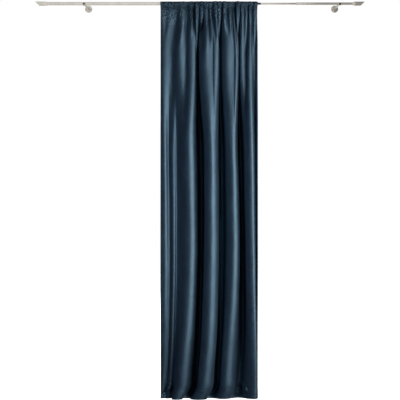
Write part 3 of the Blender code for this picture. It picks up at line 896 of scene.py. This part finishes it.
def blackoutCloth():
    # A tight satin weave with a soft nap: fine threads, and blotches where the nap lies another way.
    material, tree, shader = newMaterial("blackoutCloth", weave["light"], weave["roughness"][0])
    place = tree.nodes.new("ShaderNodeUVMap")
    place.uv_map = "cloth"
    uv = place.outputs["UV"]
    blotches = addNoise(tree, uv, *weave["blotches"])
    flecks = addNoise(tree, uv, *weave["flecks"])
    # fine creases, deep in the pocket and gone 0.15 m below it
    down = addNode(tree, "SeparateXYZ", {"Vector": uv}).outputs["Y"]
    fading = addRange(tree, down, 1.0, 0.0, *weave["creaseEnd"])
    creased = addMath(tree, "MULTIPLY", addNoise(tree, uv, *weave["creases"]), fading)
    nap = addBlend(tree, blotches, 0.7, flecks)
    colour = addRamp(tree, nap, (0.35, weave["dark"]), (0.65, weave["light"]))
    tree.links.new(colour, shader.inputs["Base Color"])
    tree.links.new(addRange(tree, nap, *weave["roughness"]), shader.inputs["Roughness"])
    warp = addWave(tree, uv, "X", weave["warpPitch"])
    weft = addWave(tree, uv, "Y", weave["weftPitch"])
    threads = addMath(tree, "MULTIPLY", warp, weft)
    normal = addBump(tree, creased, *weave["creaseBump"])
    normal = addBump(tree, blotches, *weave["blotchBump"], normal)
    normal = addBump(tree, flecks, *weave["fleckBump"], normal)
    normal = addBump(tree, threads, *weave["threadBump"], normal)
    tree.links.new(normal, shader.inputs["Normal"])
    shader.inputs["IOR"].default_value = weave["ior"]
    shader.inputs["Specular IOR Level"].default_value = 1.0
    shader.inputs["Specular Tint"].default_value = (*weave["gloss"], 1.0)
    shader.inputs["Sheen Weight"].default_value = weave["sheen"][0]
    shader.inputs["Sheen Roughness"].default_value = weave["sheen"][1]
    shader.inputs["Sheen Tint"].default_value = (*weave["gloss"], 1.0)
    return material


nickel = {
    # name, colour, roughness, and how the brush's lines are scaled along each axis
    "tube": ("brushedNickelTube", (0.655, 0.64, 0.60), 0.26, (0.02, 1.0, 1.0)),
    "cast": ("satinNickel", (0.63, 0.62, 0.565), 0.30, (1.0, 1.0, 1.0)),
    "lines": 400.0,
    "clouds": 22.0,
    "shades": (0.88, 1.06),  # darkest and lightest, of its colour
    "glosses": (0.8, 1.25),  # least and most, of its roughness
    "bump": (0.00002, 0.5),
}


def brushedNickel(kind):
    # Satin metal with fine lines from the brush and faint clouds in its colour.
    name, colour, roughness, stretch = nickel[kind]
    material, tree, shader = newMaterial(name, colour, roughness, 1.0)
    place = objectPlace(tree)
    lines = addNoise(tree, place, nickel["lines"], stretch, 2.0)
    clouds = addNoise(tree, place, nickel["clouds"])
    darker, lighter = (tuple(min(1.0, c * shade) for c in colour) for shade in nickel["shades"])
    shade = addRamp(tree, clouds, (0.3, darker), (0.7, lighter))
    tree.links.new(shade, shader.inputs["Base Color"])
    gloss = addBlend(tree, lines, 0.6, clouds)
    gloss = addRange(tree, gloss, *(roughness * level for level in nickel["glosses"]))
    tree.links.new(gloss, shader.inputs["Roughness"])
    tree.links.new(addBump(tree, lines, *nickel["bump"]), shader.inputs["Normal"])
    return material


plastic = {
    "colour": (0.012, 0.012, 0.013),
    "darkest": 0.7,  # of its colour
    "roughness": (0.38, 0.55),
    "grain": 900.0,
    "wear": 60.0,
    "bump": (0.00004, 0.4),
}


def mattPlastic():
    # Black plastic with a fine grain and a little wear.
    colour = plastic["colour"]
    material, tree, shader = newMaterial("blackPlastic", colour, plastic["roughness"][0])
    place = objectPlace(tree)
    grain = addNoise(tree, place, plastic["grain"], detail=2.0)
    wear = addNoise(tree, place, plastic["wear"])
    darker = tuple(c * plastic["darkest"] for c in colour)
    shade = addRamp(tree, wear, (0.3, darker), (0.7, colour))
    tree.links.new(shade, shader.inputs["Base Color"])
    tree.links.new(addRange(tree, wear, *plastic["roughness"]), shader.inputs["Roughness"])
    tree.links.new(addBump(tree, grain, *plastic["bump"]), shader.inputs["Normal"])
    return material


thread = {
    "colour": (0.012, 0.032, 0.055),
    "dark": (0.006, 0.018, 0.032),
    "light": (0.016, 0.042, 0.070),
    "roughness": 0.5,
    "twist": 0.0005,  # pitch of its bands
    "bump": (0.00008, 0.6),
}


def sewingThread():
    # Twisted thread: fine slanting bands along the stitches.
    material, tree, shader = newMaterial("sewingThread", thread["colour"], thread["roughness"])
    twist = addWave(tree, objectPlace(tree), "DIAGONAL", thread["twist"])
    shade = addRamp(tree, twist, (0.0, thread["dark"]), (1.0, thread["light"]))
    tree.links.new(shade, shader.inputs["Base Color"])
    tree.links.new(addBump(tree, twist, *thread["bump"]), shader.inputs["Normal"])
    return material


clothMaterial = blackoutCloth()
tubeMetal = brushedNickel("tube")
castMetal = brushedNickel("cast")
blackPlastic = mattPlastic()
threadMaterial = sewingThread()
print("materials made")

curtain, cutLength = makeCloth(clothMaterial)
stitches = makeStitches(threadMaterial)
makeTube("rodWideTube", "rod_wide_tube", wideBore, tubeMetal)
makeTube("rodSlimTube", "rod_slim_tube", rod["slimBore"], tubeMetal)
makeTube("rodEndTube", "rod_end_tube", endBore, tubeMetal)
makeCollar(blackPlastic)
makeFinial("finialLeft", "finial_left", "rod_wide_tube", wideBore, -1, castMetal)
makeFinial("finialRight", "finial_right", "rod_end_tube", endBore, 1, castMetal)
makeBracket("left", rodRadius, castMetal, blackPlastic)
makeBracket("right", rod["endRadius"], castMetal, blackPlastic)
print("pieces made")


# Floor, light and camera

studio = {
    "floorDrop": 2.50,
    "floorSize": 9.0,
    "floorCentre": 0.7,
    "floorGlow": 0.97,
    "backdrop": 1.0,
    "ambient": 0.04,
    "camera": (0.745, -4.15, -0.953),
    "sensor": 36.0,
    "lens": 58.3,
    "shift": (-0.0125, -0.105),
    # name, place, aims at, width, height, watts, colour
    "lights": (
        ("key", (2.9, -1.95, -1.2), (0.77, -0.15, -1.25), 2.6, 2.9, 115.0, (1.0, 0.98, 0.95)),
        ("fill", (-1.2, -2.2, -0.9), (0.77, -0.15, -1.1), 0.5, 2.4, 45.0, (0.95, 0.98, 1.0)),
        ("rodFront", (-0.9, -1.9, -0.1), (-0.9, -0.15, -0.1), 4.8, 4.0, 44.0, (1.0, 0.97, 0.94)),
        ("rodAbove", (-0.95, -0.6, 1.6), (-0.95, -0.15, 0.0), 4.9, 3.0, 36.0, (1.0, 0.97, 0.94)),
        ("rodBelow", (-0.95, -0.9, -1.6), (-0.95, -0.15, 0.0), 4.9, 3.0, 33.0, (1.0, 0.97, 0.94)),
        ("rodFrontRight", (2.6, -1.9, -0.1), (2.6, -0.15, -0.1), 2.2, 4.0, 8.5, (1.0, 0.98, 0.91)),
        ("rodBehind", (0.75, 1.0, -0.4), (0.75, -0.15, -0.1), 6.0, 3.0, 40.0, (1.0, 0.97, 0.92)),
        ("rodAboveRight", (2.85, -0.6, 1.6), (2.85, -0.15, 0.0), 2.7, 3.0, 8.0, (1.0, 0.98, 0.91)),
        ("rodBelowRight", (2.85, -0.9, -1.6), (2.85, -0.15, 0.0), 2.7, 3.0, 7.5, (1.0, 0.98, 0.91)),
        ("back", (-0.6, 2.6, -0.6), (0.77, -0.15, -1.2), 1.6, 2.6, 90.0, (1.0, 0.98, 0.95)),
    ),
}


def makeFloor():
    # One square, level under the curtain.
    half = studio["floorSize"] / 2
    square = np.array([(-1, -1, 0), (1, -1, 0), (1, 1, 0), (-1, 1, 0)])
    corners = square * half + (studio["floorCentre"], 0.0, -studio["floorDrop"])
    mesh = meshFromFaces("studioFloor", corners, np.array([[0, 1, 2, 3]]))
    floor = bpy.data.objects.new("studioFloor", mesh)
    bpy.context.scene.collection.objects.link(floor)
    material, tree, shader = newMaterial("paleFloor", (0.85, 0.85, 0.85), 0.8)
    shader.inputs["Emission Color"].default_value = (1.0, 1.0, 1.0, 1.0)
    shader.inputs["Emission Strength"].default_value = studio["floorGlow"]
    mesh.materials.append(material)
    floor.visible_diffuse = False
    floor.visible_glossy = False


def makeLight(name, place, target, width, height, watts, colour):
    data = bpy.data.lights.new(name, "AREA")
    data.shape = "RECTANGLE"
    data.size, data.size_y = width, height
    data.energy = watts
    data.color = colour
    light = bpy.data.objects.new(name, data)
    bpy.context.scene.collection.objects.link(light)
    aim = Vector(target) - Vector(place)
    light.rotation_euler = aim.to_track_quat("-Z", "Y").to_euler()
    light.location = place
    light.visible_camera = False
    return light


def makeWorld():
    # White where the camera looks past the curtain, dim for everything that it lights.
    world = bpy.data.worlds.new("studioWorld")
    bpy.context.scene.world = world
    world.use_nodes = True
    tree = world.node_tree
    rays = tree.nodes.new("ShaderNodeLightPath").outputs["Is Camera Ray"]
    level = addRange(tree, rays, studio["ambient"], studio["backdrop"], 0.0, 1.0)
    background = tree.nodes["Background"]
    background.inputs["Color"].default_value = (1.0, 1.0, 1.0, 1.0)
    tree.links.new(level, background.inputs["Strength"])


def makeCamera():
    data = bpy.data.cameras.new("photoCamera")
    data.sensor_width = studio["sensor"]
    data.lens = studio["lens"]
    data.shift_x, data.shift_y = studio["shift"]
    camera = bpy.data.objects.new("photoCamera", data)
    camera.location = studio["camera"]
    camera.rotation_euler = (math.pi / 2, 0.0, 0.0)
    bpy.context.scene.collection.objects.link(camera)
    bpy.context.scene.camera = camera


makeFloor()
lights = {row[0]: makeLight(*row) for row in studio["lights"]}
lights["fill"].visible_glossy = False
# the rod's own lights only show on the metal, and the key and the back light only on the rest
metalPieces = bpy.data.collections.new("metalPieces")
otherPieces = bpy.data.collections.new("otherPieces")
for piece in bpy.context.scene.objects:
    if piece.name.startswith(("rod", "finial", "left", "right")):
        metalPieces.objects.link(piece)
    elif piece.type == "MESH":
        otherPieces.objects.link(piece)
for name, light in lights.items():
    if name.startswith("rod"):
        light.light_linking.receiver_collection = metalPieces
    elif name != "fill":
        light.light_linking.receiver_collection = otherPieces
makeWorld()
makeCamera()
bpy.context.scene.view_settings.view_transform = "Standard"
print("stage, lights and camera made")
